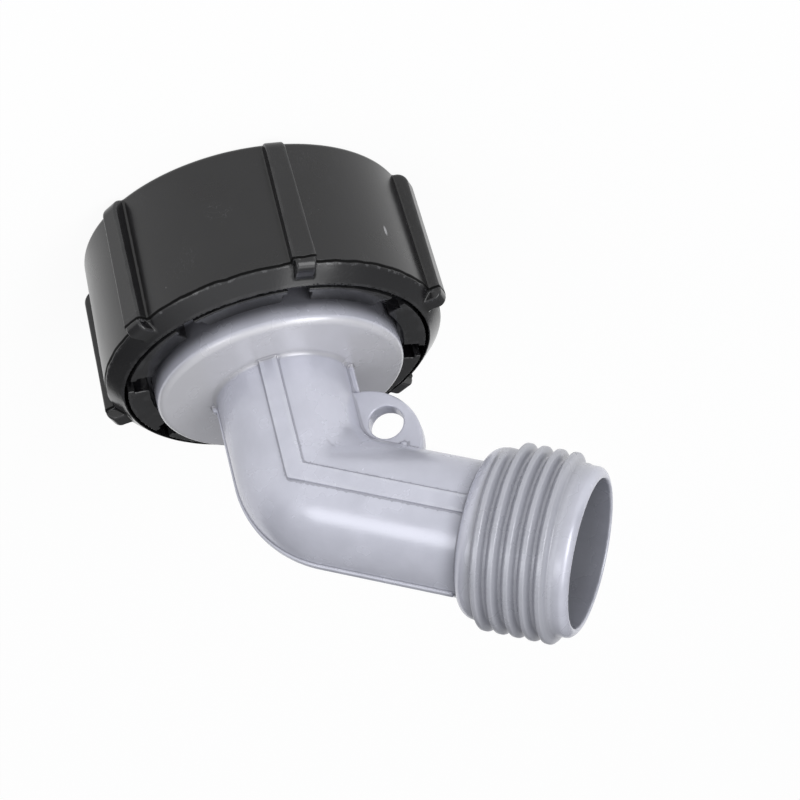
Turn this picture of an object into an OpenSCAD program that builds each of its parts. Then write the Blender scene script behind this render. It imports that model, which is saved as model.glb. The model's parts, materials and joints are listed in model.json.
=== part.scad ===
// Swivel hose elbow for a deck fill: a grip nut that spins on the hub of a bent outlet.
// Millimetres. The nut's open mouth stands on z = 0, the riser climbs along +Z
// and the outlet leans over towards +X, in the plane y = 0.

/* [Nut thread] */
// Radius of the plain bore that carries the nut's internal thread
nut_thread_r = 19.5; // [17:0.1:24]
// Depth of the threaded bore, from the mouth
nut_thread_depth = 12.2; // [9:0.1:18]
// Lead-in chamfer at the mouth of the thread
mouth_chamfer = 0.5; // [0.2:0.1:1]
// Radial step from the threaded bore out to the chamber behind it
chamber_step = 1; // [0.6:0.1:2]

/* [Nut wall] */
// How much narrower the wall is at the mouth than at the parting line
wall_taper = 0.8; // [0:0.1:2]
// Rounding of the outer edge at the mouth
mouth_edge_r = 0.6; // [0.3:0.1:1.2]
// Thickness of the rim outside the groove, at the parting line
rim_t = 2.4; // [2.2:0.1:5]
// Height of the rim above the parting line
rim_rise = 2.6; // [2:0.1:4]
// How far the rim's lip is set in from the wall
lip_in = 1.2; // [0.6:0.1:1.5]
// How far the rim's lip lies below the rear face
lip_drop = 0.9; // [0.4:0.1:1.4]
// Width of the rim's flat land beside the groove
rim_land = 0.3; // [0.1:0.1:0.6]

/* [Grip ribs] */
// Number of grip ribs
rib_count = 6; // [3:1:10]
// Width of a grip rib
rib_w = 3.4; // [2:0.1:5]
// How much narrower a rib is above the parting line
rib_end_step = 0.5; // [0:0.1:1]
// How far a rib stands out of the wall at its foot
rib_proud = 1.9; // [0.8:0.1:3]
// How much less it stands out at the parting line
rib_fall = 0.4; // [0:0.1:0.6]
// How far a rib's full width runs past the parting line
rib_overrun = 0.15; // [0.1:0.05:0.4]
// Height of a rib's round end above the parting line
rib_end_h = 1.6; // [0.8:0.1:1.9]
// Height of the rib's foot above the mouth
rib_start = 0.3; // [0.2:0.1:0.6]
// Angle of the first rib, from +X
rib_angle = 7; // [0:1:59]

/* [Snap fingers] */
// Number of snap fingers around the rear opening
finger_count = 8; // [4:1:12]
// Thickness of a finger's leg
finger_t = 1.4; // [1:0.1:3]
// Width of the groove between the fingers and the rim
groove_w = 0.5; // [0.3:0.1:1.5]
// Depth of the groove, from the rear face
groove_depth = 6.6; // [4:0.1:8]
// How much shallower the slots are than the groove
slot_rise = 0.3; // [0.1:0.1:1]
// Thickness of a finger's hook
hook_t = 2.7; // [1.5:0.1:4]
// How far the lead-in face of a hook dips towards its tip
hook_dip = 0.3; // [0.2:0.1:1.2]
// Width of the slot between two legs
slot_w = 3; // [1.5:0.1:4]
// Extra slot width between two hooks
slot_hook_extra = 1; // [0:0.1:2]
// How far the wide part of a slot bites into the legs
slot_bite = 0.35; // [0.1:0.05:0.8]
// Angle of the first slot, from +X
slot_angle = 24; // [0:1:44]

/* [Sealing washer] */
// Thickness of the washer
washer_t = 2.5; // [1.5:0.1:4]
// Radial clearance from the washer to the chamber
washer_clear = 0.4; // [0.3:0.05:0.6]
// Gap between the washer and the end of the threaded bore
washer_gap = 0.3; // [0.3:0.05:1]

/* [Hub] */
// Radial clearance from the hub's collar to the chamber
collar_clear = 0.3; // [0.2:0.05:0.6]
// Height of the hub's collar
collar_h = 5.1; // [3:0.1:8]
// How far the collar stands out of the hub
collar_proud = 2.1; // [1.6:0.1:3]
// Chamfer on the collar's leading edge
collar_chamfer = 0.8; // [0.2:0.1:1.2]
// Axial play between the collar and the hooks
swivel_play = 0.3; // [0.2:0.05:0.8]
// Gap from a hook's tip to the hub
hook_gap = 0.6; // [0.3:0.05:1]
// How far the hub's face stands above the nut
hub_rise = 2.9; // [2:0.1:8]
// Rounding of the hub's edge
hub_edge_r = 1.4; // [0.4:0.1:1.8]
// Wall of the hub around its cavity
hub_wall = 2.6; // [1.5:0.1:4]
// Thickness of the hub's face
hub_face_t = 2.6; // [2:0.1:4]

/* [Tube] */
// Outer radius of the tube
tube_r = 9.7; // [8.5:0.1:10.5]
// Wall of the tube
tube_wall = 2.4; // [2.2:0.1:3]
// Fillet where the tube stands on the hub
foot_fillet = 1; // [0.4:0.1:2]
// Straight length from the hub's face to the bend point
riser_len = 18; // [16:0.1:30]
// Angle of the bend
bend = 60; // [40:1:70]
// Radius of the bend's centre line, swept on the outside of the bend
sweep_r = 7.7; // [7.5:0.1:8.5]
// How far the swept heel of the bend stays below the tube's surface
heel_shy = 0.05; // [0.03:0.01:0.2]
// Length from the bend point to the end of the tube
outlet_tube_len = 24.9; // [22:0.1:40]

/* [Mould lines] */
// Width of the flat strip along each side
strip_w = 2.6; // [1:0.1:4]
// How far the strip stands out of the tube
strip_proud = 0.35; // [0.2:0.05:0.8]
// Width of the rib along the mould's parting line
line_w = 1.2; // [0.6:0.1:2]
// How far the parting rib stands out of the tube
line_proud = 0.4; // [0.2:0.05:1]
// Gap between the parting rib and the outlet's collar
line_gap = 0.8; // [0.3:0.1:2]

/* [Eyelet] */
// Radius of the eyelet's hole
eye_hole_r = 2.5; // [1:0.1:2.8]
// Thickness of the lug
eye_t = 2.8; // [1.5:0.1:5]
// Radius of the lug's round outline
eye_round_r = 8.35; // [7.5:0.05:9.5]
// Distance of the lug's outer edge from the riser's axis
eye_reach = 17.8; // [16.5:0.1:19]
// Distance from the hub's face to the lug's near edge
eye_above_hub = 4.9; // [2:0.1:6]
// Wall between the hole and the lug's outer edge
eye_wall_out = 2.1; // [1.8:0.1:2.6]
// Wall between the hole and the lug's near edge
eye_wall_near = 3.5; // [3:0.1:4.5]

/* [Hose outlet] */
// Crest radius of the hose thread
hose_r = 13.35; // [12.5:0.05:16]
// Depth of the hose thread
hose_depth = 1.2; // [0.8:0.05:1.8]
// Length of the plain collar before the thread
outlet_collar_len = 2.4; // [2.2:0.1:6]
// Rounding of the outlet collar's edge
outlet_collar_edge = 2.1; // [0.4:0.1:2.1]
// Length of the threaded stretch
hose_len = 11.5; // [8:0.1:20]
// Length of the plain nose after the thread
nose_len = 2.4; // [1:0.1:6]
// How much smaller the nose is than the thread's root
nose_step = 0.15; // [0:0.05:0.8]
// Chamfer at the nose's end
nose_chamfer = 0.5; // [0.1:0.1:0.6]
// Wall between the outlet's bore and the thread's root
outlet_wall = 1.65; // [1.2:0.05:3]
// Length of the cone from the outlet's bore to the tube's bore
throat_len = 3; // [2:0.1:6]

/* [Hidden] */
$fn = 96;
// Smallest overlap, the overrun of a cut past its face, the depth of a hidden root,
// the length by which the legs run into the swept heel, and how far the round end
// of the waterway's cores stands out of them
eps = 0.01;
overrun = 1;
root = 1;
heel_lap = 0.3;
core_proud = 0.05;

// Radii of the swivel, from the thread outwards and from the collar inwards
chamber_r = nut_thread_r + chamber_step;
finger_r = chamber_r + finger_t;
groove_r = finger_r + groove_w;
wide_r = groove_r + rim_t;
mouth_r = wide_r - wall_taper;
collar_r = chamber_r - collar_clear;
hub_r = collar_r - collar_proud;
hook_r = hub_r + hook_gap;
cavity_r = hub_r - hub_wall;
washer_r = chamber_r - washer_clear;

// Heights of the swivel, stacked from the mouth
washer_z = nut_thread_depth + washer_gap;
seat_z = washer_z + washer_t;
collar_top_z = seat_z + collar_h;
hook_z = collar_top_z + swivel_play;
nut_h = hook_z + hook_t;
groove_z = nut_h - groove_depth;
parting_z = nut_h - rim_rise;
hub_top_z = nut_h + hub_rise;
bend_z = hub_top_z + riser_len;

// Where the bend's swept heel begins: on the riser, and on the outlet from the bend point
heel_s = sweep_r * tan(bend / 2);
heel_z = bend_z - heel_s;

// Outlet, measured along its own axis from the bend point
tube_bore_r = tube_r - tube_wall;
hose_root_r = hose_r - hose_depth;
hose_start = outlet_tube_len + outlet_collar_len;
hose_end = hose_start + hose_len;
outlet_end = hose_end + nose_len;
nose_r = hose_root_r - nose_step;
outlet_bore_r = hose_root_r - outlet_wall;

// Eyelet, in the plane of the bend
eye_z = hub_top_z + eye_above_hub;
eye_hole_x = eye_reach - eye_wall_out - eye_hole_r;
eye_hole_z = eye_z + eye_wall_near + eye_hole_r;

// Places its children on the outlet's axis, with the bend point at the origin
module along_outlet() {
    translate([0, 0, bend_z])
        rotate([0, bend, 0])
            children();
}

// Extrudes a drawing of the bend plane (x across, y up) to both sides of that plane
module in_bend_plane(width) {
    rotate([90, 0, 0])
        linear_extrude(width, center = true)
            children();
}

// Quarter of a disc that rounds the corner at [x, y], up and to the right
module corner_round(x, y, r) {
    translate([x, y])
        intersection() {
            circle(r);
            square(r);
        }
}

// Quarter of a disc that rounds the corner at [x, y], down and to the right
module low_corner_round(x, y, r) {
    translate([x, y])
        mirror([0, 1])
            corner_round(0, 0, r);
}

// Half section of the nut's outside, with the drafted wall and the rim that leans in to its lip
module nut_section() {
    polygon([
        [0, 0],
        [mouth_r - mouth_edge_r, 0],
        [mouth_r, mouth_edge_r],
        [wide_r, parting_z],
        [wide_r - lip_in, nut_h - lip_drop],
        [groove_r + rim_land, nut_h],
        [0, nut_h]
    ]);
    low_corner_round(mouth_r - mouth_edge_r, mouth_edge_r, mouth_edge_r);
}

// Half section of everything cut out of the nut by turning
module nut_inside_section() {
    translate([0, -eps])
        square([nut_thread_r, nut_thread_depth + 2 * eps]);
    polygon([
        [0, -eps],
        [nut_thread_r + mouth_chamfer + eps, -eps],
        [nut_thread_r, mouth_chamfer],
        [0, mouth_chamfer]
    ]);
    translate([0, nut_thread_depth])
        square([chamber_r, hook_z - nut_thread_depth]);
    polygon([
        [0, hook_z - eps],
        [hook_r, hook_z - eps],
        [hook_r, nut_h - hook_dip],
        [finger_r, nut_h],
        [finger_r, nut_h + overrun],
        [0, nut_h + overrun]
    ]);
    translate([finger_r, groove_z])
        square([groove_w, groove_depth + overrun]);
}

// Section of a grip rib below the parting line
module rib_section() {
    root_r = mouth_r - mouth_edge_r;
    round_z = rib_start + rib_proud;
    foot_r = mouth_r + wall_taper * (round_z - mouth_edge_r) / (parting_z - mouth_edge_r);
    end_r = wide_r + rib_proud - rib_fall;
    polygon([
        [root_r, rib_start],
        [foot_r, rib_start],
        [foot_r, round_z],
        [foot_r + rib_proud, round_z],
        [end_r, parting_z],
        [end_r, parting_z + rib_overrun],
        [root_r, parting_z + rib_overrun]
    ]);
    low_corner_round(foot_r, round_z, rib_proud);
}

// Section of a grip rib above the parting line, rounded back to the rim
module rib_end_section() {
    round_x = wide_r + rib_proud - rib_fall - rib_end_h;
    inner_x = groove_r + rim_land;
    translate([inner_x, parting_z])
        square([round_x - inner_x, rib_end_h]);
    corner_round(round_x, parting_z, rib_end_h);
}

module grip_rib() {
    in_bend_plane(rib_w)
        rib_section();
    in_bend_plane(rib_w - rib_end_step)
        rib_end_section();
}

// One slot between two fingers: narrow at the legs, wider at the hooks
module finger_slot() {
    slot_in = hook_r - overrun;
    slot_end = finger_r + groove_w / 2;
    hook_slot_w = slot_w + slot_hook_extra;
    hook_slot_end = chamber_r + slot_bite;
    slot_z = groove_z + slot_rise;
    slot_h = groove_depth + overrun;
    translate([slot_in, -slot_w / 2, slot_z])
        cube([slot_end - slot_in, slot_w, slot_h]);
    translate([slot_in, -hook_slot_w / 2, slot_z])
        cube([hook_slot_end - slot_in, hook_slot_w, slot_h]);
}

module swivel_nut() {
    color("#1c1c1e")
        difference() {
            union() {
                rotate_extrude()
                    nut_section();
                for (k = [0 : rib_count - 1])
                    rotate([0, 0, rib_angle + k * 360 / rib_count])
                        grip_rib();
            }
            rotate_extrude()
                nut_inside_section();
            for (k = [0 : finger_count - 1])
                rotate([0, 0, slot_angle + k * 360 / finger_count])
                    finger_slot();
        }
}

// Half section of the hub: the trapped collar, the drum and its round edge
module hub_section() {
    polygon([
        [0, seat_z],
        [collar_r - collar_chamfer, seat_z],
        [collar_r, seat_z + collar_chamfer],
        [collar_r, collar_top_z],
        [hub_r, collar_top_z],
        [hub_r, hub_top_z - hub_edge_r],
        [hub_r - hub_edge_r, hub_top_z - hub_edge_r],
        [hub_r - hub_edge_r, hub_top_z],
        [0, hub_top_z]
    ]);
    corner_round(hub_r - hub_edge_r, hub_top_z - hub_edge_r, hub_edge_r);
}

// Half section of the fillet ring at the tube's foot
module foot_section() {
    translate([tube_r - eps, hub_top_z - eps])
        difference() {
            square(foot_fillet + eps);
            translate([foot_fillet + eps, foot_fillet + eps])
                circle(foot_fillet);
        }
}

// Half plane from the bend's own axis outwards, which the swept heel turns about
module heel_side(r) {
    translate([0, -r])
        square(2 * r);
}

// Two straight legs that meet in a sharp mitre inside the bend and a swept heel outside it
module swept_tube(r, low_z, far) {
    heel_r = r - heel_shy;
    translate([0, 0, low_z])
        cylinder(r = r, h = heel_z + heel_lap - low_z);
    along_outlet()
        translate([0, 0, heel_s - heel_lap])
            cylinder(r = r, h = far - heel_s + heel_lap);
    translate([sweep_r, 0, heel_z])
        rotate([90, 0, 0])
            rotate(180 - bend)
                rotate_extrude(angle = bend)
                    intersection() {
                        translate([sweep_r, 0])
                            circle(heel_r);
                        heel_side(2 * heel_r);
                    }
}

// Band of the bend plane that follows both axes, with a sharp mitre at the bend point
module bent_band(half_w, low_z, far) {
    half_bend = bend / 2;
    across = half_w * [cos(bend), -sin(bend)];
    mitre = half_w / cos(half_bend) * [cos(half_bend), -sin(half_bend)];
    corner = [0, bend_z];
    tip = corner + far * [sin(bend), cos(bend)];
    polygon([
        [-half_w, low_z],
        [half_w, low_z],
        corner + mitre,
        tip + across,
        tip - across,
        corner - mitre
    ]);
}

// Outline of the parting rib: the tube's own silhouette, a little larger
module parting_outline() {
    r = tube_r + line_proud;
    far = outlet_tube_len - line_gap;
    heel_far = 2 * (sweep_r + r);
    heel = [sweep_r, heel_z];
    translate([-r, hub_top_z])
        square([2 * r, heel_z + heel_lap - hub_top_z]);
    translate([0, bend_z])
        rotate(90 - bend)
            translate([heel_s - heel_lap, -r])
                square([far - heel_s + heel_lap, 2 * r]);
    intersection() {
        translate(heel)
            circle(sweep_r + r - heel_shy);
        polygon([
            heel,
            heel + heel_far * [-1, 0],
            heel + heel_far * [-cos(bend), sin(bend)]
        ]);
    }
}

// Outline of the eyelet's lug, which fills the inner corner of the bend
module lug_outline() {
    translate([eye_reach - eye_round_r, eye_z + eye_round_r])
        circle(eye_round_r);
}

// Half section of the outlet, with y along its axis from the bend point
module outlet_section() {
    collar_edge_r = hose_root_r - outlet_collar_edge;
    collar_edge_end = outlet_tube_len + outlet_collar_edge;
    translate([0, outlet_tube_len])
        square([collar_edge_r, outlet_collar_len]);
    translate([0, collar_edge_end])
        square([hose_root_r, hose_start - collar_edge_end]);
    low_corner_round(collar_edge_r, collar_edge_end, outlet_collar_edge);
    translate([0, hose_start - eps])
        square([hose_r, hose_len + eps]);
    polygon([
        [0, hose_end - eps],
        [nose_r, hose_end - eps],
        [nose_r, outlet_end - nose_chamfer],
        [nose_r - nose_chamfer, outlet_end],
        [0, outlet_end]
    ]);
}

// Two straight cores that meet at the bend point, with a round end
module bent_core(r, low_z, far) {
    translate([0, 0, low_z])
        cylinder(r = r, h = bend_z - low_z);
    along_outlet()
        cylinder(r = r, h = far);
    translate([0, 0, bend_z])
        sphere(r = r + core_proud);
}

// Everything that the water runs through
module waterway() {
    cavity_top_z = hub_top_z - hub_face_t;
    translate([0, 0, seat_z - overrun])
        cylinder(r = cavity_r, h = cavity_top_z - seat_z + overrun);
    bent_core(tube_bore_r, cavity_top_z - eps, outlet_end + overrun);
    along_outlet()
        translate([0, 0, hose_start])
            cylinder(r = outlet_bore_r, h = outlet_end - hose_start + overrun);
    along_outlet()
        translate([0, 0, hose_start - throat_len])
            cylinder(r1 = tube_bore_r, r2 = outlet_bore_r, h = throat_len + eps);
}

module elbow_body() {
    color("#b4b7c1")
        difference() {
            union() {
                rotate_extrude()
                    hub_section();
                rotate_extrude()
                    foot_section();
                swept_tube(tube_r, hub_top_z - hub_face_t, outlet_tube_len + root);
                in_bend_plane(2 * (tube_r + strip_proud))
                    bent_band(strip_w / 2, hub_top_z - root, outlet_tube_len + root);
                in_bend_plane(line_w)
                    parting_outline();
                in_bend_plane(eye_t)
                    lug_outline();
                along_outlet()
                    rotate_extrude()
                        outlet_section();
            }
            waterway();
            translate([eye_hole_x, 0, eye_hole_z])
                rotate([90, 0, 0])
                    cylinder(r = eye_hole_r, h = eye_t + 2 * overrun, center = true);
        }
}

// Flat ring that the hub's collar presses on the spout
module sealing_washer() {
    color("#262626")
        translate([0, 0, washer_z])
            difference() {
                cylinder(r = washer_r, h = washer_t);
                translate([0, 0, -overrun])
                    cylinder(r = cavity_r, h = washer_t + 2 * overrun);
            }
}

swivel_nut();
elbow_body();
sealing_washer();
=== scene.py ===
# %% [markdown]
# # A hose elbow for a deck fill, dressed for the camera
# The real object is two plastic mouldings and a rubber washer. A black nut with grip ribs screws
# onto a threaded spout. A silver-grey elbow is snapped into it and turns freely, and a hose screws
# onto the elbow's angled outlet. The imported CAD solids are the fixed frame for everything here:
# they give the sizes and the moving bodies, and this file adds what moulded plastic has besides,
# which is threads, soft edges, flow marks and a finish.

# %% Load the frame
import json
import math
from types import SimpleNamespace

import bmesh
import bpy
import numpy as np
from mathutils import Matrix, Vector


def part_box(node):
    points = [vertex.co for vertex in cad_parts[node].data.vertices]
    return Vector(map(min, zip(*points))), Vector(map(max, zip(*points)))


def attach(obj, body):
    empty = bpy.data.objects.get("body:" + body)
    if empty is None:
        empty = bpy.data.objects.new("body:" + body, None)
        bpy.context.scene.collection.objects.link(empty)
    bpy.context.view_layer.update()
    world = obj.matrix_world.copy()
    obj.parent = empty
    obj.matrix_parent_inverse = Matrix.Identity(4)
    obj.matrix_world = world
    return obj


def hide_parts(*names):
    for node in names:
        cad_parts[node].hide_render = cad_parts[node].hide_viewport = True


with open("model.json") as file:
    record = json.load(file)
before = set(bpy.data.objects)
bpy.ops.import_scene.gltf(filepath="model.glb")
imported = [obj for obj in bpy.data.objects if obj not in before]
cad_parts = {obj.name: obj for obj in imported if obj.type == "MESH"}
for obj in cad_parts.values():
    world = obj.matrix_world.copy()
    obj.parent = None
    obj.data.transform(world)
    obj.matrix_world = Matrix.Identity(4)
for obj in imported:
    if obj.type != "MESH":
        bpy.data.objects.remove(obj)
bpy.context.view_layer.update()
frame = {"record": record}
MM = 0.001

# %% [markdown]
# ## Sizes
# Everything below is drawn in millimetres and scaled to metres at the very end. The mounts in the
# record say where the threads and the eyelet are, and the boxes of the CAD nodes give the heights.
# They could be typed in again, but reading them here means that the dressed pieces sit where the
# solids are, with no fitting by eye.

# %% Sizes read from the frame
mounts = {m["name"]: m for m in frame["record"]["mounts"]}
thread_bore_r = mounts["nut_thread"]["dims"]["r_mm"]
hose = mounts["hose_thread"]
eye = mounts["tether_eye"]
hose_axis = Vector(hose["axis"]).normalized()
hose_mid = Vector(hose["pos_m"]) / MM
hose_r = hose["dims"]["r_mm"]
hose_len = hose["dims"]["length_mm"]
eye_x, _, eye_z = Vector(eye["pos_m"]) / MM
eye_r = eye["dims"]["r_mm"]
lug_t = eye["dims"]["length_mm"]

nut_low, nut_high = (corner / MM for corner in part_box("swivel_nut"))
elbow_low, elbow_high = (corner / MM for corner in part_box("elbow_body"))
washer_low, washer_high = (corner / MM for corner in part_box("sealing_washer"))
nut_h = nut_high.z
seat_z = washer_high.z
hose_mid_s = hose_mid.x / hose_axis.x
bend_z = hose_mid.z - hose_axis.z * hose_mid_s
hose_start = hose_mid_s - hose_len / 2
hose_end = hose_mid_s + hose_len / 2
print(f"nut {nut_h:.1f} high, bend point at {bend_z:.1f}, hose thread {hose_start:.1f} to {hose_end:.1f}")

# %% [markdown]
# ## Camera
# The photograph looks down on the standing part from the +Y side with a long lens, and is turned
# almost upside down, so that the nut is at the top of the picture. The camera is set first, because
# every later choice is judged through it. It could be aimed with a Track To constraint, but the
# turned picture makes three plain directions simpler: the picture's right, down and forward.

# %% Camera
picture_right = Vector((0.95428, -0.18685, 0.23331))
picture_down = Vector((-0.29151, -0.40915, 0.86465))
picture_forward = Vector((-0.06610, -0.89313, -0.44491))
camera_place = Vector((44.012, 380.787, 223.224))
camera_lens = 135.0

camera_data = bpy.data.cameras.new("photo_camera")
camera_data.lens = camera_lens
camera_data.sensor_width = 36.0
camera_data.clip_start = 0.01
camera = bpy.data.objects.new("photo_camera", camera_data)
bpy.context.scene.collection.objects.link(camera)
turn = Matrix((picture_right, -picture_down, -picture_forward)).transposed()
camera.matrix_world = Matrix.Translation(camera_place * MM) @ turn.to_4x4()
bpy.context.scene.camera = camera
print("camera at", [round(v, 3) for v in camera.location])

# %% [markdown]
# ## Shapes as distance fields
# A moulded part has no knife edges: every outer corner is rounded and every inner corner has a
# fillet, each with its own radius. Bevelling the edges of a mesh with this many cuts breaks down
# where the bevels meet. So each piece is written as a distance field instead: a function that says
# how far a point is from the surface, negative inside. Two fields join or cut each other with a
# round corner of a chosen radius, whatever their shapes are.

# %% Joining and cutting fields
def join(a, b, fillet):
    """Both shapes together, with a fillet of that radius in the corner between them."""
    u = np.maximum(fillet - a, 0)
    v = np.maximum(fillet - b, 0)
    return np.maximum(fillet, np.minimum(a, b)) - np.hypot(u, v)


def shared(a, b, edge):
    """What two shapes share, with the edge where they meet rounded to that radius."""
    return -join(-a, -b, edge)


def cut(a, b, edge):
    """The first shape less the second, with the cut's rim rounded to that radius."""
    return shared(a, -b, edge)


def ease(t):
    """A soft step from 0 to 1."""
    t = np.clip(t, 0, 1)
    return t * t * (3 - 2 * t)


def about(turn_angle, first, count):
    """Angle from the nearest of count copies spread around a circle."""
    pitch_angle = 2 * math.pi / count
    return (turn_angle - first + pitch_angle / 2) % pitch_angle - pitch_angle / 2


# %% [markdown]
# ## From a field to a mesh
# Geometry nodes can make a mesh from a volume, but these fields are numpy functions, so the few
# steps are written out. The field is sampled on a grid, finely only in blocks that the surface may
# cross. In each grid cell that the surface crosses goes one vertex, and the vertices around each
# crossed grid edge make a quad.

# %% Sampling
BLOCK = 8
CHUNK = 2000
NEAR = 1.1


def sample(field, low, high, step):
    """Values of a field on a grid, with far blocks filled by one value each."""
    blocks = np.ceil((np.array(high) - low) / (step * BLOCK)).astype(int)
    index = np.indices(blocks).reshape(3, -1).T
    rough = field(low + (index * BLOCK + (BLOCK - 1) / 2) * step)
    values = rough.reshape(blocks).astype(np.float32)
    for axis in range(3):
        values = values.repeat(BLOCK, axis)
    parts = values.reshape(np.ravel([(n, BLOCK) for n in blocks]))
    inner = np.indices((BLOCK,) * 3).reshape(3, -1).T
    near = index[np.abs(rough) < NEAR * BLOCK * step]
    for start in range(0, len(near), CHUNK):
        some = near[start:start + CHUNK]
        points = low + (some[:, None] * BLOCK + inner) * step
        found = field(points.reshape(-1, 3)).reshape((-1,) + (BLOCK,) * 3)
        parts[some[:, 0], :, some[:, 1], :, some[:, 2], :] = found
    return values


# %% Quads around the surface
CORNERS = np.indices((2, 2, 2)).reshape(3, -1).T
UNIT = np.eye(3, dtype=int)


def cell_points(values, cells):
    """The middle of the places where the surface crosses each cell's edges, in grid steps."""
    total = np.zeros((len(cells), 3))
    hits = np.zeros(len(cells))
    for a in CORNERS:
        for b in a + UNIT[a == 0]:
            va = values[tuple((cells + a).T)]
            vb = values[tuple((cells + b).T)]
            crossed = (va < 0) != (vb < 0)
            share = np.where(crossed, va / np.where(crossed, va - vb, 1), 0)
            total += crossed[:, None] * (a + share[:, None] * (b - a))
            hits += crossed
    return cells + total / hits[:, None]


def net(values, low, step):
    """Vertices and quads of the zero surface: one vertex per crossed cell."""
    inside = values < 0
    nx, ny, nz = np.array(values.shape) - 1
    filled = sum(inside[i:i + nx, j:j + ny, k:k + nz].astype(np.int8) for i, j, k in CORNERS)
    mixed = (filled > 0) & (filled < len(CORNERS))
    cells = np.argwhere(mixed)
    number = np.full(mixed.shape, -1, np.int32)
    number[mixed] = np.arange(len(cells))
    quads = []
    for axis in range(3):
        one, two = np.roll(UNIT, -axis - 1, 0)[:2]
        core = tuple(slice(0 if d == axis else 1, -1) for d in range(3))
        next_core = tuple(slice(1, None) if d == axis else slice(1, -1) for d in range(3))
        edge = np.argwhere(inside[core] != inside[next_core]) + 1 - UNIT[axis]
        ring = np.stack([number[tuple((edge + o).T)] for o in (-one - two, -two, 0 * one, -one)], 1)
        outward = inside[tuple(edge.T)]
        quads.append(np.where(outward[:, None], ring, ring[:, ::-1]))
    return low + step * cell_points(values, cells), np.concatenate(quads)


# %% [markdown]
# ## Onto the true surface
# A grid leaves small steps. The field itself mends them: its slope says which way the surface lies,
# so every vertex can be moved onto it exactly. The same slope is the true normal of the shape, and
# how fast it turns tells an edge from a corner, which the finishes use later for wear and dirt.

# %% Vertices onto the surface
LEAST_SLOPE = 0.05
TINY = 1e-9


def slope(field, points, reach=0.02):
    """Gradient of a field by differences over a short reach."""
    return np.stack(
        [(field(points + reach * e) - field(points - reach * e)) / (2 * reach) for e in np.eye(3)], 1
    )


def settle(field, points, limit, rounds=2):
    """Points moved along the field's slope until they lie on its zero surface."""
    for _ in range(rounds):
        way = slope(field, points)
        move = (field(points) / np.maximum((way * way).sum(1), LEAST_SLOPE))[:, None] * way
        length = np.linalg.norm(move, axis=1, keepdims=True)
        points = points - move * np.minimum(1, limit / np.maximum(length, TINY))
    return points


def curvature(field, points, reach=0.3):
    """How sharply the surface bends, per millimetre: positive on edges, negative in corners."""
    around = sum(field(points + reach * e) + field(points - reach * e) for e in np.eye(3))
    return (around - 6 * field(points)) / reach**2


# %% [markdown]
# ## Thin where flat, fine where bent
# The grid's mesh has far more quads than a flat wall needs. A Decimate modifier thins it and keeps
# more vertices where the surface bends. It also leaves long thin triangles from an edge out into a
# flat, and a value stored on the vertices, such as the bend of the surface, would smear along them.
# So those edges are split again before the vertices settle.

# %% Thinning
def thinned(name, points, quads, faces):
    """An object with that net of quads, thinned to about that many triangles."""
    rough = bpy.data.meshes.new(name)
    rough.from_pydata(points * MM, [], quads.tolist())
    piece = bpy.data.objects.new(name, rough)
    bpy.context.scene.collection.objects.link(piece)
    thin = piece.modifiers.new("thin", "DECIMATE")
    thin.ratio = min(1.0, faces / (2 * len(quads)))
    graph = bpy.context.evaluated_depsgraph_get()
    piece.data = bpy.data.meshes.new_from_object(piece.evaluated_get(graph))
    piece.modifiers.clear()
    bpy.data.meshes.remove(rough)
    piece.data.name = name
    return piece


# %% Splitting
SHARPEST = 2


def split_long(mesh, field, longest, shortest, jump):
    """Splits edges that are long, or that run from a sharp bend out into a flat."""
    work = bmesh.new()
    work.from_mesh(mesh)
    for _ in range(2):
        points = np.array([v.co for v in work.verts]) / MM
        work.verts.index_update()
        bend = np.clip(curvature(field, points), -SHARPEST, SHARPEST)
        ends = np.array([[v.index for v in e.verts] for e in work.edges])
        length = np.linalg.norm(points[ends[:, 0]] - points[ends[:, 1]], axis=1)
        steep = np.abs(bend[ends[:, 0]] - bend[ends[:, 1]]) > jump
        chosen = (length > longest) | (steep & (length > shortest))
        edges = [e for e, c in zip(work.edges, chosen) if c]
        bmesh.ops.subdivide_edges(work, edges=edges, cuts=1)
        bmesh.ops.triangulate(work, faces=[f for f in work.faces if len(f.verts) > 3])
    work.to_mesh(mesh)
    work.free()


# %% Mesh of a field
MARGIN = Vector((1, 1, 1))


def skin(name, field, low, high, step=0.22, faces=120000):
    """An object whose mesh is the zero surface of a field within a box."""
    low = np.array(low - MARGIN, float)
    points, quads = net(sample(field, low, high + MARGIN, step), low, step)
    piece = thinned(name, settle(field, points, step), quads, faces)
    mesh = piece.data
    split_long(mesh, field, longest=1.6, shortest=0.5, jump=1.0)
    points = np.empty(3 * len(mesh.vertices))
    mesh.vertices.foreach_get("co", points)
    points = settle(field, points.reshape(-1, 3) / MM, step / 2)
    mesh.vertices.foreach_set("co", (points * MM).ravel())
    mesh.shade_smooth()
    normal = slope(field, points)
    normal /= np.maximum(np.linalg.norm(normal, axis=1, keepdims=True), TINY)
    bends = mesh.attributes.new("edge_curve", "FLOAT", "POINT")
    bends.data.foreach_set("value", curvature(field, points).astype(np.float32))
    mesh.normals_split_custom_set_from_vertices(normal.tolist())
    print(f"{name}: {len(quads)} quads made into {len(mesh.polygons)} triangles")
    return piece


# %% [markdown]
# ## Threads
# A screw thread is one ridge that climbs a cylinder. A Screw modifier could sweep its profile, but
# the ends would be cut off square. In a field it is enough to know the nearest crest of the ridge:
# how far off it is along the axis, and how many turns it has made so far. The first number gives
# the ridge's height there, and the second lets the ridge fade in and out, as a moulded thread does.

# %% Thread ridge
FADE_IN = 0.22
FADE_OUT = 0.3


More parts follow.
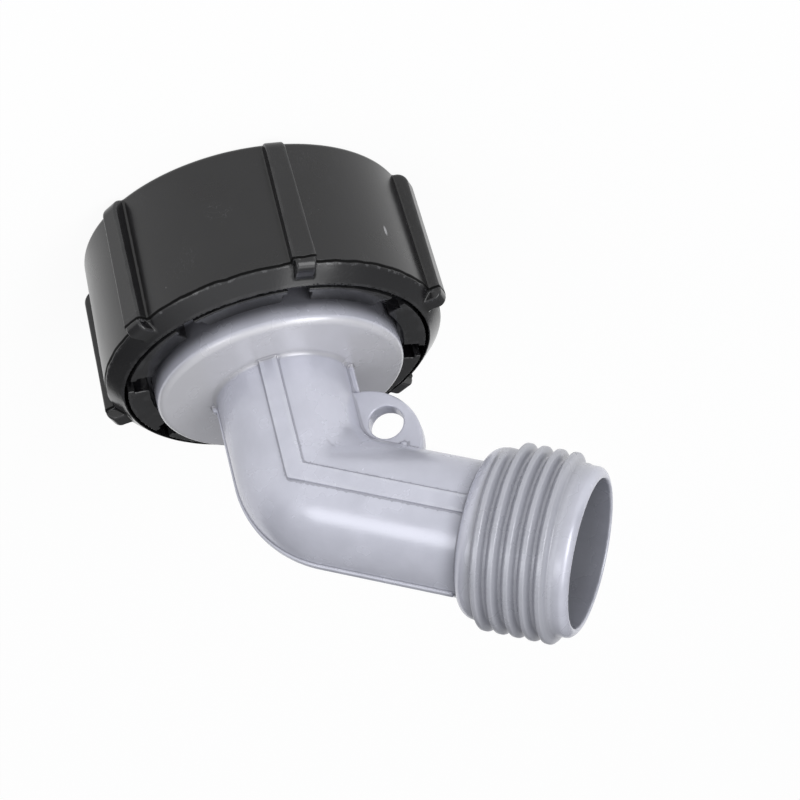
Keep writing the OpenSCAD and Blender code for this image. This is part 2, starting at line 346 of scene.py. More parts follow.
def thread_ridge(along, angle, first, pitch, turns, wide, flank):
    """Height from 0 to 1 of a right-hand ridge that makes those turns, counted from first."""
    here = angle / (2 * math.pi)
    turn_count = np.round((along - first) / pitch - here) + here
    off = np.abs((along - first) / pitch - turn_count)
    fade = ease((turn_count - turns[0]) / FADE_IN) * ease((turns[1] - turn_count) / FADE_OUT)
    return ease((wide - off) / flank) * fade


# %% [markdown]
# ## Swivel nut
# The nut is a cup with a drafted wall, so that it leaves its mould, and a rim that slopes in behind
# the parting line. It could be a revolved profile with the details cut by Booleans. As a field it is
# built the way the mould is: the outside first, then everything that a core or a blade takes out.

# %% Nut sizes
chamber_relief = 1.0
finger_t = 1.4
groove_w = 0.5
rim_t = 2.4
draft = 0.8
rim_h = 2.6
lip_in = 1.25
lip_down = 1.0
mouth_edge = 0.6

chamber_r = thread_bore_r + chamber_relief
finger_r = chamber_r + finger_t
groove_r = finger_r + groove_w
wide_r = groove_r + rim_t
mouth_r = wide_r - draft
parting_z = nut_h - rim_h
lip_r = wide_r - lip_in
lip_z = nut_h - lip_down
wall_slope = (wide_r - mouth_r) / (parting_z - mouth_edge)
print(f"nut radius {mouth_r:.1f} at the mouth, {wide_r:.1f} at the parting line, {parting_z:.1f} up")

# %% Nut wall
lip_round = 0.6
parting_round = 0.25


def wall_radius(z):
    """Radius of the drafted wall at that height."""
    return mouth_r + wall_slope * (z - mouth_edge)


def beyond(rho, z, start, end):
    """Distance outside the cone through two points (radius, height), the lower one first."""
    run = end[0] - start[0]
    climb = end[1] - start[1]
    return ((rho - start[0]) * climb - (z - start[1]) * run) / math.hypot(run, climb)


def nut_wall(rho, z):
    """The wall up to the parting line, and the rim's two cones above it."""
    outer_cone = beyond(rho, z, (wide_r, parting_z), (lip_r, lip_z))
    inner_cone = beyond(rho, z, (lip_r, lip_z), (groove_r, nut_h))
    rim = shared(outer_cone, inner_cone, lip_round)
    wall = shared(np.maximum(rho - wall_radius(z), z - nut_h), rim, parting_round)
    return shared(wall, -z, mouth_edge)


# %% [markdown]
# ## Grip ribs
# Six ribs let wet fingers turn the nut. Each widens a little towards the parting line, runs out in a
# round at the mouth, and ends in a small block that stands on the rim. All six are one rib: the
# angle to the nearest copy replaces the angle around the nut, so nothing is copied or arrayed.

# %% Grip ribs
rib_first = math.radians(7.2)
rib_count = 6
rib_half = 1.42
rib_widening = 0.33
rib_proud = 1.9
rib_fall = 0.4
rib_start = 0.3
rib_over = 0.15
rib_edge = 0.35
rib_top_edge = 0.2
block_half = 1.45
block_h = 1.6
block_round = 1.5
block_edge = 0.3
block_root = 1.0


def grip_ribs(rho, angle, z):
    """The ribs along the wall and the blocks at their ends."""
    off = about(angle, rib_first, rib_count)
    out = rho * np.cos(off)
    side = np.abs(rho * np.sin(off))
    up = z / parting_z
    face_r = wall_radius(z) + rib_proud - rib_fall * up
    rib = shared(out - face_r, rib_start - z, rib_proud)
    rib = shared(rib, side - rib_half - rib_widening * up, rib_edge)
    rib = shared(rib, z - parting_z - rib_over, rib_top_edge)
    block = shared(out - wide_r - rib_proud + rib_fall, z - parting_z - block_h, block_round)
    block = shared(block, side - block_half, block_edge)
    block = np.maximum(block, parting_z - block_root - z)
    return np.minimum(rib, block)


# %% [markdown]
# ## Inside of the nut
# The mouth is threaded for the spout. Above the thread is a plain chamber for the washer and the
# elbow's collar, and above that eight snap fingers with hooks. A groove frees the fingers from the
# rim and slots free them from each other, so that they can bend out once, when the collar is pushed
# in. Each of these is a simple field of its own, and all are cut away together.

# %% Bore and chamber
pipe_pitch = 2.309
pipe_depth = 1.4
pipe_first = 1.2
pipe_turns = (-0.4, 4.9)
pipe_wide = 0.42
pipe_flank = 0.34
pipe_steepness = 0.7
thread_depth_z = 12.2
thread_relief = 0.5
mouth_lead = 0.3
hook_r = 18.7
hook_z = 20.4
hook_dip = 0.3
chamber_lap = 0.05
throat_lap = 1.0


def nut_voids(rho, angle, z):
    """What the thread's core and the chamber's core leave open."""
    ridge = thread_ridge(z, angle, pipe_first, pipe_pitch, pipe_turns, pipe_wide, pipe_flank)
    bore = pipe_steepness * (rho - thread_bore_r - pipe_depth * (1 - ridge))
    bore = np.maximum(bore, z - thread_depth_z)
    bore = np.maximum(bore, rho - chamber_r - thread_relief)
    mouth = (rho + z - thread_bore_r - pipe_depth - mouth_lead) * math.sqrt(0.5)
    chamber = np.maximum(np.maximum(rho - chamber_r, thread_depth_z - chamber_lap - z), z - hook_z)
    throat = np.maximum(rho - hook_r, hook_z - throat_lap - z)
    cone_z = nut_h - hook_dip + hook_dip * (rho - hook_r) / (finger_r - hook_r)
    lead_in = np.maximum(cone_z - z, rho - groove_r)
    return np.minimum.reduce([bore, mouth, chamber, throat, lead_in])


# %% Groove and slots
finger_len = 6.6
slot_lift = 0.3
slot_first = math.radians(24)
slot_count = 8
slot_half = 1.5
slot_wide_half = 2.0
slot_wide_reach = 0.35
slot_lap = 1

groove_z = nut_h - finger_len
slot_z = groove_z + slot_lift


def finger_cuts(rho, angle, z):
    """The ring groove, and slots that are wider at the hooks."""
    groove = np.maximum(np.abs(rho - groove_r + groove_w / 2) - groove_w / 2, groove_z - z)
    off = about(angle, slot_first, slot_count)
    out = rho * np.cos(off)
    side = np.abs(rho * np.sin(off))
    legs = np.maximum(side - slot_half, out - finger_r - groove_w / 2)
    hooks = np.maximum(side - slot_wide_half, out - chamber_r - slot_wide_reach)
    slot = np.maximum(np.minimum(legs, hooks), np.maximum(slot_z - z, hook_r - slot_lap - out))
    return np.minimum(groove, slot)


# %% Nut mesh
rib_fillet = 0.3
bore_edge = 0.2
finger_edge = 0.18


def nut_field(points):
    """Distance to the surface of the nut."""
    x, y, z = points.T
    rho = np.hypot(x, y)
    angle = np.arctan2(y, x)
    body = join(nut_wall(rho, z), grip_ribs(rho, angle, z), rib_fillet)
    body = cut(body, nut_voids(rho, angle, z), bore_edge)
    return cut(body, finger_cuts(rho, angle, z), finger_edge)


nut = skin("swivel_nut_moulding", nut_field, nut_low, nut_high)

# %% [markdown]
# ## Elbow
# The elbow is one grey moulding. Its tube has a riser and a leaning leg, which meet in a sharp
# crotch on the inside of the bend and in a swept heel on the outside. A curve with a bevel would
# give one smooth bend and lose the crotch. So the tube is the union of a swept pipe and of the
# crotch of two straight ones. All forms below share one set of measures, taken along both legs.

# %% Elbow measures
sweep_r = 7.75
half_bend = math.radians(30)
heel_s = sweep_r * math.tan(half_bend)
lean_sin, lean_cos = hose_axis.x, hose_axis.z


def elbow_places(points):
    """Where points are, as seen from the riser, from the leaning leg and from the swept axis."""
    x, y, z = points.T
    rise = z - bend_z
    at = SimpleNamespace(x=x, y=y, z=z, rise=rise)
    at.rho = np.hypot(x, y)
    at.along = x * lean_sin + rise * lean_cos
    at.across = x * lean_cos - rise * lean_sin
    at.rho_out = np.hypot(at.across, y)
    corner = np.sqrt(at.rho**2 + rise**2)
    at.riser = np.where(rise < 0, at.rho, corner)
    at.leaning = np.where(at.along > 0, at.rho_out, corner)
    arc = np.hypot(np.hypot(x - sweep_r, rise + heel_s) - sweep_r, y)
    low_leg = np.where(rise > -heel_s, np.inf, at.rho)
    high_leg = np.where(at.along < heel_s, np.inf, at.rho_out)
    legs = np.minimum(low_leg, high_leg)
    at.axis = np.where(np.isinf(legs), arc, legs)
    return at


# %% Hub
collar_r = 20.2
collar_top = 20.1
collar_edge = 0.25
collar_lead = 0.8
hub_r = 18.1
hub_top = 26.0
hub_edge = 1.1
hub_fillet = 0.3
seat_edge = 0.2


def hub(at):
    """The drum with the collar that the fingers trap."""
    drum = shared(at.rho - hub_r, at.z - hub_top, hub_edge)
    collar = shared(at.rho - collar_r, at.z - collar_top, collar_edge)
    chamfer = (at.rho - at.z - collar_r + seat_z + collar_lead) * math.sqrt(0.5)
    collar = shared(collar, chamfer, seat_edge)
    return shared(join(drum, collar, hub_fillet), seat_z - at.z, seat_edge)


# %% Tube
tube_r = 9.7
tube_root = 2
crotch_fillet = 2.0
crotch_start = 2
fillet_start = 4
fillet_run = 6
mitre_cos, mitre_sin = math.cos(half_bend), math.sin(half_bend)


def tube(at):
    """The swept pipe, and the crotch of two straight ones inside the bend."""
    inward = at.x * mitre_cos - at.rise * mitre_sin
    fillet = crotch_fillet * ease((inward - fillet_start) / fillet_run) + 1e-6
    crotch = join(at.riser - tube_r, at.leaning - tube_r, fillet)
    pipe = np.minimum(at.axis - tube_r, np.maximum(crotch, crotch_start - inward))
    return np.maximum(pipe, hub_top - tube_root - at.z)


# %% [markdown]
# ## Strips, parting rib and nubs
# A flat raised strip runs along both sides of the tube and turns with it in a mitre. A thin rib in
# the plane of the bend marks the parting of the mould, and ends in two small nubs on the hub. They
# could be bump in the material, but they catch light on their edges and show in the outline, so they
# are shapes.

# %% Strips, parting rib and nubs
strip_half = 1.3
strip_proud = 0.35
strip_edge = 0.12
line_half = 0.6
line_proud = 0.4
line_edge = 0.22
line_stop = 0.8
line_end_edge = 0.3
line_root = 1
nub_proud = 0.9
nub_h = 1.0
nub_lap = 0.5
nub_edge = 0.25
tube_end = 24.9
lug_x, lug_z, lug_r = 9.45, 39.25, 8.35


def strips(at):
    """Flat strips on both sides, with a mitre at the bend."""
    before = at.rise + at.along < 0
    off = np.abs(np.where(before, at.x, at.across))
    strip = shared(off - strip_half, np.abs(at.y) - tube_r - strip_proud, strip_edge)
    return np.maximum(strip, hub_top - line_root - at.z)


def parting_rib(at):
    """The thin rib around the tube in the plane of the bend."""
    line = shared(np.abs(at.y) - line_half, at.axis - tube_r - line_proud, line_edge)
    line = shared(line, at.along - tube_end + line_stop, line_end_edge)
    return np.maximum(line, hub_top - line_root - at.z)


def nubs(at):
    """The ends of the rib: a low nub on the heel's side, a tall one that runs into the lug."""
    top = np.where(at.x > 0, lug_z - lug_r + nub_lap, hub_top + nub_h)
    nub = shared(np.abs(at.y) - line_half, np.abs(at.x) - tube_r - nub_proud, nub_edge)
    return shared(np.maximum(nub, hub_top - line_root - at.z), at.z - top, line_end_edge)


# %% [markdown]
# ## Lug and outlet
# A flat lug with an eye fills the crotch, for the tether of a dust cap, and carries a small pip. The
# outlet is a wider cylinder with a round shoulder, the hose thread and a plain nose. The thread is a
# height added to the cylinder's radius, so it melts into it as it does on a moulding.

# %% Lug
lug_edge = 0.4
eye_edge = 0.3
pip_x, pip_z, pip_r = 14.8, 41.2, 0.55
pip_fillet = 0.1


def lug(at):
    """A disc with an eye through it and a pip on one face."""
    disc = shared(np.hypot(at.x - lug_x, at.z - lug_z) - lug_r, np.abs(at.y) - lug_t / 2, lug_edge)
    disc = cut(disc, np.hypot(at.x - eye_x, at.z - eye_z) - eye_r, eye_edge)
    pip = np.sqrt((at.x - pip_x) ** 2 + (at.y - lug_t / 2) ** 2 + (at.z - pip_z) ** 2) - pip_r
    return join(disc, pip, pip_fillet)


# %% Outlet
shoulder = 2.1
root_r = 12.15
nose_r = 12.0
nose_start = 0.3
nose_run = 0.6
nose_round = 1.2
outlet_end = 41.2
hose_pitch = 2.26
hose_first = 29.8
hose_turns = (-0.97, 3.98)
hose_wide = 0.44
hose_flank = 0.34
hose_steepness = 0.75


def outlet(at):
    """The outlet's cylinder with the hose thread on it."""
    angle = np.arctan2(at.y, at.across)
    ridge = thread_ridge(at.along, angle, hose_first, hose_pitch, hose_turns, hose_wide, hose_flank)
    core_r = root_r - (root_r - nose_r) * ease((at.along - hose_end + nose_start) / nose_run)
    core = shared(at.rho_out - core_r, tube_end - at.along, shoulder)
    spout = hose_steepness * (core - (hose_r - core_r) * ridge)
    spout = np.maximum(spout, tube_end - at.along)
    return shared(spout, at.along - outlet_end, nose_round)


# %% Waterway
cavity_r = 15.5
cavity_top = 23.4
bore_r = 7.3
outlet_bore_r = 10.5
throat_len = 3.0


def waterway(at):
    """The hub's cavity, two straight cores that meet at the bend, and the wider outlet bore."""
    cavity = np.maximum(at.rho - cavity_r, at.z - cavity_top)
    cores = np.minimum(at.riser, at.leaning)
    widening = np.clip((at.along - hose_start) / throat_len + 1, 0, 1)
    cone_r = bore_r + (outlet_bore_r - bore_r) * widening
    mouth = np.maximum(at.rho_out - cone_r, -at.along)
    return np.minimum.reduce([cavity, cores - bore_r, mouth])


# %% Elbow mesh
waterway_edge = 0.3
forms_and_fillets = (
    (tube, 0.8),
    (strips, 0.15),
    (parting_rib, 0.15),
    (nubs, 0.2),
    (lug, 0.4),
    (outlet, 0.35),
)


def elbow_field(points):
    """Distance to the surface of the elbow."""
    at = elbow_places(points)
    body = hub(at)
    for form, fillet in forms_and_fillets:
        body = join(body, form(at), fillet)
    return cut(body, waterway(at), waterway_edge)


elbow = skin("elbow_moulding", elbow_field, elbow_low, elbow_high)

# %% [markdown]
# ## Sealing washer
# A flat rubber ring under the hub's collar. It only shows from below, through the nut's mouth. A
# cylinder with a hole would do, and as a field it gets its soft edge in the same line.

# %% Washer mesh
washer_r = washer_high.x
washer_edge = 0.25


def washer_field(points):
    """Distance to the surface of the washer."""
    x, y, z = points.T
    rho = np.hypot(x, y)
    flat = np.maximum(washer_low.z - z, z - washer_high.z)
    ring = np.maximum(rho - washer_r, cavity_r - rho)
    return shared(ring, flat, washer_edge)


washer = skin("washer_ring", washer_field, washer_low, washer_high, step=0.4, faces=40000)

# %% [markdown]
# ## Pieces onto bodies
# In use the nut is held by the spout and the elbow swings, with its washer.

# %% Pieces onto bodies
for piece, body, cad_node, slot in (
    (nut, "nut", "swivel_nut", "nut_plastic"),
    (elbow, "elbow", "elbow_body", "elbow_plastic"),
    (washer, "elbow", "sealing_washer", "washer_rubber"),
):
    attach(piece, body)
    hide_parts(cad_node)
    print(piece.name, "rides", body)

# %% [markdown]
# ## Finishes
# All three finishes are built from nodes, so they hold at any distance. Painted images would do for
# one view only. Effects that more than one plastic shows, which are the fine grain of the mould,
# wear along edges, painted shade in corners, and scuffs from handling, are node groups, built once
# and placed with other values in each material.

# %% Node helpers
def put(tree, socket, value):
    """Links an output to a socket, or writes a plain value into it."""
    if isinstance(value, bpy.types.NodeSocket):
        tree.links.new(value, socket)
    else:
        socket.default_value = value


def node(tree, kind, inputs=None, **settings):
    """A new node with its settings and named inputs filled in."""
    made = tree.nodes.new(kind)
    for key, value in settings.items():
        setattr(made, key, value)
    for key, value in (inputs or {}).items():
        put(tree, made.inputs[key], value)
    return made


def maths(tree, operation, *values):
    """Result of one sum on sockets and plain numbers."""
    return node(tree, "ShaderNodeMath", dict(enumerate(values)), operation=operation).outputs[0]


def vector(tree, operation, *values):
    """Result of one sum on vectors. A length or a dot product is a plain number."""
    made = node(tree, "ShaderNodeVectorMath", dict(enumerate(values)), operation=operation)
    return made.outputs["Value" if operation in ("LENGTH", "DOT_PRODUCT") else "Vector"]


def object_place(tree):
    """Where a point is on its own piece, in metres, so a finish moves with the piece."""
    return node(tree, "ShaderNodeTexCoord").outputs["Object"]


def axes(tree, place):
    """The X, Y and Z of a vector."""
    return node(tree, "ShaderNodeSeparateXYZ", {"Vector": place}).outputs


# %% Masks and colours
def window(tree, value, low, high):
    """0 below low, 1 above high and a soft step between. High may be the smaller one."""
    made = node(tree, "ShaderNodeMapRange", {"Value": value, "From Min": low, "From Max": high})
    made.interpolation_type = "SMOOTHSTEP"
    return made.outputs["Result"]


def band(tree, value, starts, ends):
    """1 between two soft steps, each a pair of millimetres from where it is 0 to where it is 1."""
    up = window(tree, value, starts[0] * MM, starts[1] * MM)
    down = window(tree, value, ends[0] * MM, ends[1] * MM)
    return maths(tree, "MULTIPLY", up, down)


def near_line(tree, distance, none, full):
    """1 within full millimetres of a line, and 0 beyond none."""
    return window(tree, maths(tree, "ABSOLUTE", distance), none * MM, full * MM)


def noise(tree, place, size_mm, detail=2.0, roughness=0.5):
    """Cloudy noise with lumps of about that size."""
    made = node(tree, "ShaderNodeTexNoise", {"Vector": place, "Scale": 1 / (size_mm * MM)})
    made.inputs["Detail"].default_value = detail
    made.inputs["Roughness"].default_value = roughness
    return made.outputs["Fac"]


def tint(tree, share, a, b):
    """A colour mixed from two."""
    made = node(tree, "ShaderNodeMix", {0: share}, data_type="RGBA")
    put(tree, made.inputs[6], a)
    put(tree, made.inputs[7], b)
    return made.outputs[2]


def stained(tree, colour, stains):
    """A colour with stains over it, each a mask, its strength and its own colour."""
    for mask, strength, stain in stains:
        colour = tint(tree, maths(tree, "MULTIPLY", mask, strength), colour, stain + (1,))
    return colour


# %% Group helpers
def group(name, inputs, outputs):
    """An empty shader node group with named value sockets, and its two end nodes."""
    tree = bpy.data.node_groups.new(name, "ShaderNodeTree")
    for label, value in inputs.items():
        socket = tree.interface.new_socket(label, in_out="INPUT", socket_type="NodeSocketFloat")
        socket.default_value = value
    for label in outputs:
        tree.interface.new_socket(label, in_out="OUTPUT", socket_type="NodeSocketFloat")
    return tree, tree.nodes.new("NodeGroupInput"), tree.nodes.new("NodeGroupOutput")


def place_group(tree, name, **values):
    """A copy of a node group in a material, with its inputs filled in."""
    made = tree.nodes.new("ShaderNodeGroup")
    made.node_tree = bpy.data.node_groups[name]
    for key, value in values.items():
        put(tree, made.inputs[key], value)
    return made.outputs


# %% [markdown]
# ## Mould grain
# A mould is blasted to a fine grain, and the melt leaves faint clouds where it flowed. The grain is
# far too small to model, so it is noise for a bump. The clouds shift colour and gloss a little, and
# their size is the group's input.

# %% Mould grain
grain_mm = 0.35
tree, given, result = group("mould_grain", {"Cloud": 6.0}, ("Height", "Cloud"))
place = object_place(tree)
cloud = node(tree, "ShaderNodeTexNoise", {"Vector": place, "Detail": 3.0})
put(tree, cloud.inputs["Scale"], maths(tree, "DIVIDE", 1 / MM, given.outputs["Cloud"]))
put(tree, result.inputs["Height"], noise(tree, place, grain_mm, 3.0, 0.6))
put(tree, result.inputs["Cloud"], window(tree, cloud.outputs["Fac"], 0.3, 0.7))
print("grain lumps of", grain_mm, "mm")

# %% [markdown]
# ## Edge wear and painted corner shade
# Outer edges rub bright in patches. Inner corners get painted shade, a darkening for the shade that
# falls in them. Blender's Pointiness could find them, but it depends on how fine the mesh is. The
# bend that each vertex took from its field does not, so the group reads that.

# %% Edge wear and painted corner shade
edge_bends = (0.6, 2.2)
corner_shade_bends = (-0.4, -2.0)
tree, given, result = group("edge_wear_and_corner_shade", {"Sharpness": 1.0}, ("Edge", "Corner_shade"))
bends = node(tree, "ShaderNodeAttribute", attribute_name="edge_curve").outputs["Fac"]
patchy = window(tree, noise(tree, object_place(tree), 2.5, 3.0), 0.3, 0.62)
strong = maths(tree, "MULTIPLY", bends, given.outputs["Sharpness"])
put(tree, result.inputs["Edge"], maths(tree, "MULTIPLY", window(tree, strong, *edge_bends), patchy))
# The corner output is painted shade: it darkens inner corners, where shade falls.
put(tree, result.inputs["Corner_shade"], window(tree, strong, *corner_shade_bends))
print("edges show from a bend of", edge_bends[0], "per mm")

# %% [markdown]
# ## Scuffs and specks
# Handling leaves hair-fine scuffs in rubbed places, and dust leaves a few specks. The scuffs are the
# middle line of a stretched noise, which wanders as a scratch does. The specks are the centres of
# Voronoi cells, kept only where a second noise is high.

# %% Scuffs and specks
scuff_turn = (0.5, 0.3, 0.9)
scuff_stretch = (1.0, 9.0, 1.4)
speck_apart = 1.7
tree, given, result = group("handling", {"Amount": 0.5}, ("Scuff", "Speck"))
place = object_place(tree)
spots = node(tree, "ShaderNodeTexVoronoi", {"Vector": place, "Scale": 1 / (speck_apart * MM)})
sparse = window(tree, noise(tree, place, 4.0), 0.55, 0.66)
speck = maths(tree, "MULTIPLY", window(tree, spots.outputs["Distance"], 0.085, 0.05), sparse)
lines = {"Vector": place, "Rotation": scuff_turn, "Scale": scuff_stretch}
lines = node(tree, "ShaderNodeMapping", lines).outputs["Vector"]
from_middle = maths(tree, "SUBTRACT", noise(tree, lines, 1.6, 2.0), 0.5)
hair = window(tree, maths(tree, "ABSOLUTE", from_middle), 0.012, 0.004)
rubbed = window(tree, noise(tree, place, 7.0, 1.0), 0.56, 0.7)
scuff = maths(tree, "MULTIPLY", hair, rubbed)
put(tree, result.inputs["Scuff"], maths(tree, "MULTIPLY", scuff, given.outputs["Amount"]))
put(tree, result.inputs["Speck"], maths(tree, "MULTIPLY", speck, given.outputs["Amount"]))
print("node groups:", sorted(g.name for g in bpy.data.node_groups))


# %% Material helpers
def new_finish(name, piece):
    """A new material on a piece: its tree and its Principled shader."""
    made = bpy.data.materials.new(name)
    made.use_nodes = True
    piece.data.materials.append(made)
    return made.node_tree, made.node_tree.nodes["Principled BSDF"]


def bumped(tree, shader, height, depth_mm):
    """Surface relief of that depth from a height between 0 and 1."""
    relief = node(tree, "ShaderNodeBump", {"Height": height, "Distance": depth_mm * MM})
    put(tree, shader.inputs["Normal"], relief.outputs["Normal"])


# %% [markdown]
# ## Satin black of the nut
# The nut is satin black, a little glossier on the rim. Where the two halves of the mould met there
# is a wavy seam at the foot of the rim, with light flecks along it, and one pale nick marks the wall.
# Cutting the seam into the mesh would take a very fine grid, so it is a dark line with a bump.

# %% Marks on the nut
nick = (21.0, 12.6, 13.6)
nick_shape = (1, 1, 0.35)
seam_down = 0.4
seam_wave = 0.5
fleck_up = 0.35
tree, shader = new_finish("satin_black", nut)
grain = place_group(tree, "mould_grain", Cloud=9.0)
marks = place_group(tree, "edge_wear_and_corner_shade", Sharpness=1.0)
wear = place_group(tree, "handling", Amount=0.22)
place = object_place(tree)
height_z = axes(tree, place)["Z"]
seam_z = (parting_z - seam_down) * MM
wave = maths(tree, "MULTIPLY_ADD", noise(tree, place, 3.0), seam_wave * MM, seam_z)
off_seam = maths(tree, "SUBTRACT", height_z, wave)
seam = near_line(tree, off_seam, 0.28, 0.12)
fleck = near_line(tree, maths(tree, "SUBTRACT", off_seam, fleck_up * MM), 0.2, 0.08)
fleck = maths(tree, "MULTIPLY", fleck, window(tree, noise(tree, place, 0.9, 3.0), 0.52, 0.66))
from_nick = vector(tree, "SUBTRACT", place, Vector(nick) * MM)
from_nick = vector(tree, "LENGTH", vector(tree, "MULTIPLY", from_nick, nick_shape))
nicked = near_line(tree, from_nick, 0.36, 0.14)
print(f"seam at {parting_z - seam_down:.1f} mm, nick at {nick}")

# %% Colour of the nut
seam_and_shade_black = (0.001, 0.001, 0.001)
black = tint(tree, grain["Cloud"], (0.004, 0.0038, 0.0045, 1), (0.006, 0.0058, 0.0067, 1))
# Painted shade: inner corners are darkened to near black. The seam's dark line uses the same black.
black = stained(tree, black, (
    (marks["Edge"], 1.0, (0.018, 0.018, 0.019)),
    (marks["Corner_shade"], 0.8, seam_and_shade_black),
    (wear["Scuff"], 1.0, (0.10, 0.10, 0.105)),
    (wear["Speck"], 1.0, (0.24, 0.24, 0.25)),
    (nicked, 0.9, (0.3, 0.3, 0.31)),
    (fleck, 0.5, (0.12, 0.12, 0.125)),
    (seam, 0.95, seam_and_shade_black),
))
put(tree, shader.inputs["Base Color"], black)

# %% Gloss of the nut
wall_dull = 0.27
coat = 0.15
rim = window(tree, height_z, (parting_z - 0.1) * MM, (parting_z + 0.4) * MM)
dull = maths(tree, "MULTIPLY_ADD", grain["Cloud"], 0.05, wall_dull)
dull = maths(tree, "MULTIPLY_ADD", marks["Edge"], -0.08, dull)
dull = maths(tree, "MULTIPLY_ADD", rim, -0.11, dull)
put(tree, shader.inputs["Roughness"], maths(tree, "MULTIPLY_ADD", seam, 0.4, dull))
put(tree, shader.inputs["Coat Weight"], maths(tree, "MULTIPLY_ADD", seam, -coat, coat))
put(tree, shader.inputs["Specular IOR Level"], maths(tree, "MULTIPLY_ADD", seam, -0.4, 0.5))
shader.inputs["Coat Roughness"].default_value = 0.16
bumped(tree, shader, maths(tree, "MULTIPLY_ADD", seam, -6.0, grain["Height"]), 0.012)
print("satin black:", len(tree.nodes), "nodes")

# %% [markdown]
# ## Pearl grey of the elbow
# The elbow's grey has a slight pearl sheen, which a little metal in the shader gives. The thread is
# duller and darker from use. The face of the hub gets painted light, a lighter and less blue tint,
# and the gap at the fingers and the inside of the outlet get painted shade. These zones could be
# separate materials, but they fade into each other, so each is a mask from the place along the
# nut's axis or along the outlet's.

# %% Zones of the elbow
tree, shader = new_finish("pearl_grey", elbow)
grain = place_group(tree, "mould_grain", Cloud=5.0)
marks = place_group(tree, "edge_wear_and_corner_shade", Sharpness=1.0)
wear = place_group(tree, "handling", Amount=0.1)
place = object_place(tree)
height_z = axes(tree, place)["Z"]
# Painted light: the up-facing face of the hub is tinted lighter and less blue, for the light that falls
# on it from above.
hub_face_painted_light = band(tree, height_z, (hub_top - 1.0, hub_top - 0.3), (hub_top + 0.7, hub_top + 0.2))
# Painted shade: the hub's wall is darkened towards the nut, for the shade in the gap at the fingers.
gap_painted_shade = window(tree, height_z, (hub_top - 0.9) * MM, (hub_top - 3.4) * MM)

from_bend = vector(tree, "SUBTRACT", place, (0, 0, bend_z * MM))
station = vector(tree, "DOT_PRODUCT", from_bend, hose_axis)
thread_starts = (tube_end + 1.3, tube_end + 2.3)
thread_ends = (outlet_end - 0.2, outlet_end - 3.2)
threaded = band(tree, station, thread_starts, thread_ends)

# Painted shade: the inside of the outlet's bore is darkened, for the shade inside it.
far_square = maths(tree, "POWER", vector(tree, "LENGTH", from_bend), 2.0)
off_square = maths(tree, "SUBTRACT", far_square, maths(tree, "POWER", station, 2.0))
off_axis = maths(tree, "SQRT", maths(tree, "MAXIMUM", off_square, 0.0))
in_bore = near_line(tree, off_axis, outlet_bore_r + 0.7, outlet_bore_r + 0.1)
bore_starts = (tube_end - 2.9, tube_end + 1.1)
bore_ends = (outlet_end + 0.1, outlet_end - 0.6)
inside = maths(tree, "MULTIPLY", in_bore, band(tree, station, bore_starts, bore_ends))
print("thread zone", thread_starts, "to", thread_ends)

# %% Colour of the elbow
bare = maths(tree, "SUBTRACT", 1.0, threaded)
edge = maths(tree, "MULTIPLY", marks["Edge"], bare)
# Painted shade: inner corners are darkened, less in the thread, for the shade that falls in them.
corner_painted_shade = maths(tree, "MULTIPLY", marks["Corner_shade"], maths(tree, "MULTIPLY_ADD", threaded, -0.4, 0.55))
grey = tint(tree, grain["Cloud"], (0.5, 0.506, 0.575, 1), (0.55, 0.556, 0.63, 1))
grey = stained(tree, grey, (
    (threaded, 0.8, (0.37, 0.375, 0.41)),
    (hub_face_painted_light, 0.8, (0.6, 0.595, 0.615)),
    (gap_painted_shade, 0.9, (0.07, 0.07, 0.08)),
    (inside, 0.58, (0.1, 0.105, 0.125)),
    (edge, 0.3, (0.62, 0.63, 0.68)),
    (corner_painted_shade, 1.0, (0.19, 0.19, 0.22)),
    (wear["Scuff"], 1.0, (0.33, 0.33, 0.36)),
    (wear["Speck"], 0.8, (0.2, 0.2, 0.22)),
))
put(tree, shader.inputs["Base Color"], grey)

# %% Gloss of the elbow
tube_dull = 0.2
dull = maths(tree, "MULTIPLY_ADD", grain["Cloud"], 0.09, tube_dull)
put(tree, shader.inputs["Roughness"], maths(tree, "MULTIPLY_ADD", threaded, 0.06, dull))
shader.inputs["Metallic"].default_value = 0.22
bumped(tree, shader, grain["Height"], 0.01)
print("pearl grey:", len(tree.nodes), "nodes")

# %% [markdown]
# ## Rubber of the washer
# Black rubber is matt and a little cloudy. The mould grain is enough for it, only deeper.

# %% Washer rubber
rubber_dull = 0.72
tree, shader = new_finish("washer_rubber", washer)
grain = place_group(tree, "mould_grain", Cloud=4.0)
rubber = tint(tree, grain["Cloud"], (0.018, 0.018, 0.018, 1), (0.034, 0.033, 0.033, 1))
put(tree, shader.inputs["Base Color"], rubber)
put(tree, shader.inputs["Roughness"], maths(tree, "MULTIPLY_ADD", grain["Cloud"], 0.1, rubber_dull))
bumped(tree, shader, grain["Height"], 0.03)
print("materials:", [m.name for m in bpy.data.materials])

# %% [markdown]
# ## Floor
# The photograph has a white ground. More light would give that too, and would wash out the grey.
# So the floor is white paper, and to the camera and in reflections it is lifted towards pure white.
# The share that isn't lifted still takes the object's soft shadow. The floor lies a hair below the
# nut's mouth, so that the two faces don't fight for the same place.

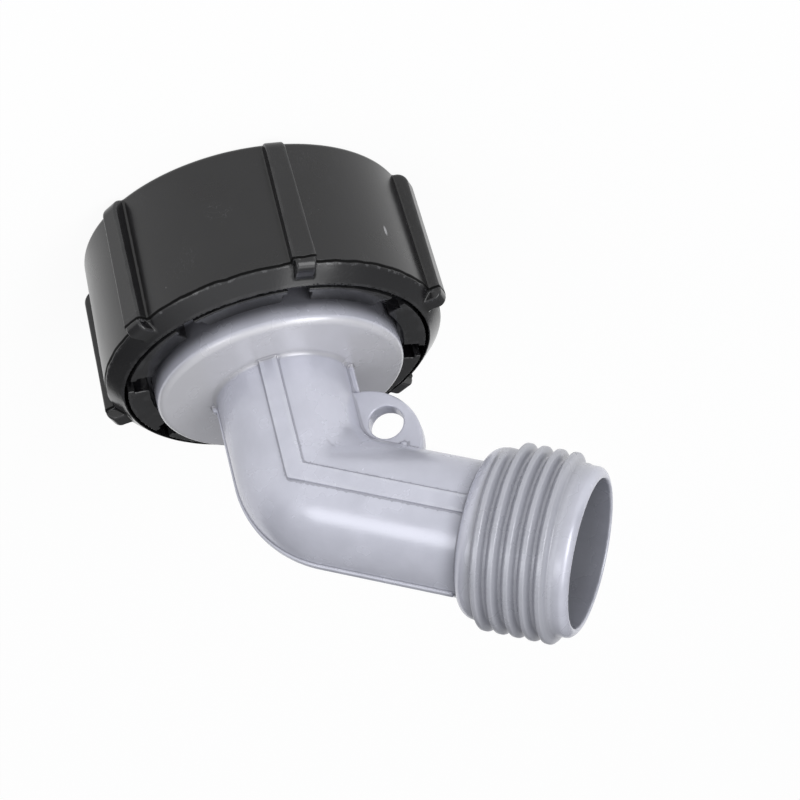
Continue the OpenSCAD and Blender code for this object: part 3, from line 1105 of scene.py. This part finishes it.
# %% Floor
floor_gap = 0.1
floor_size = 6
lift = 0.93
bpy.ops.mesh.primitive_plane_add(size=floor_size)
floor = bpy.context.object
floor.name = "floor"
floor.location.z = -floor_gap * MM
paper = bpy.data.materials.new("white_paper")
paper.use_nodes = True
floor.data.materials.append(paper)
tree = paper.node_tree
tree.nodes.clear()
lit = node(tree, "ShaderNodeBsdfDiffuse", {"Color": (0.94, 0.94, 0.94, 1)})
white = node(tree, "ShaderNodeEmission", {"Color": (1, 1, 1, 1), "Strength": 1.0})
rays = node(tree, "ShaderNodeLightPath").outputs
mirrored = maths(tree, "MAXIMUM", rays["Is Glossy Ray"], rays["Is Transmission Ray"])
seen = maths(tree, "MAXIMUM", rays["Is Camera Ray"], mirrored)
share = maths(tree, "MULTIPLY", seen, lift)
mixed = node(tree, "ShaderNodeMixShader", {0: share, 1: lit.outputs[0], 2: white.outputs[0]})
node(tree, "ShaderNodeOutputMaterial", {"Surface": mixed.outputs[0]})
print("floor", floor_gap, "mm below the nut")

# %% [markdown]
# ## Light
# The photograph was taken in soft light from the camera's side, with darkness behind: the black nut
# mirrors a bright front, and the rim and fingers mirror almost nothing. An even white world would
# lose that. So the world is brightest on the camera's side and from above, a little brighter on the
# right, and dim behind. Three softboxes put the long highlights on the tube.

# %% World
dim = 0.12
front_glow = 0.75
right_glow = 0.22
above_glow = 0.62
world = bpy.context.scene.world or bpy.data.worlds.new("studio")
bpy.context.scene.world = world
world.use_nodes = True
tree = world.node_tree
sky = tree.nodes["Background"]
way = axes(tree, node(tree, "ShaderNodeTexCoord").outputs["Generated"])
glow = maths(tree, "MULTIPLY_ADD", window(tree, way["Y"], -0.1, 0.8), front_glow, dim)
glow = maths(tree, "MULTIPLY_ADD", window(tree, way["X"], 0.1, 0.9), right_glow, glow)
above = maths(tree, "POWER", maths(tree, "MAXIMUM", way["Z"], 0.0), 2.0)
put(tree, sky.inputs["Color"], (0.97, 0.98, 1.0, 1))
put(tree, sky.inputs["Strength"], maths(tree, "MULTIPLY_ADD", above, above_glow, glow))
bpy.context.scene.view_settings.view_transform = "Standard"
print("world from", dim, "behind to", dim + front_glow, "in front")

# %% Softboxes
lit_point = Vector((0.01, 0, 0.03))
lamp_away = 0.9


def softbox(name, way, size, power):
    """A square lamp that faces the object from that direction."""
    way = Vector(way).normalized()
    data = bpy.data.lights.new(name, "AREA")
    data.size = size
    data.energy = power
    lamp = bpy.data.objects.new(name, data)
    bpy.context.scene.collection.objects.link(lamp)
    lamp.location = lit_point + lamp_away * way
    lamp.rotation_euler = (-way).to_track_quat("-Z", "Y").to_euler()
    print(name, [round(v, 2) for v in lamp.location])


softbox("right_softbox", (0.6, 0.6, 0.53), size=0.5, power=2.6)
softbox("left_softbox", (-0.57, 0.67, 0.47), size=0.3, power=0.62)
softbox("top_softbox", (0.35, 0.3, 0.88), size=0.34, power=0.6)
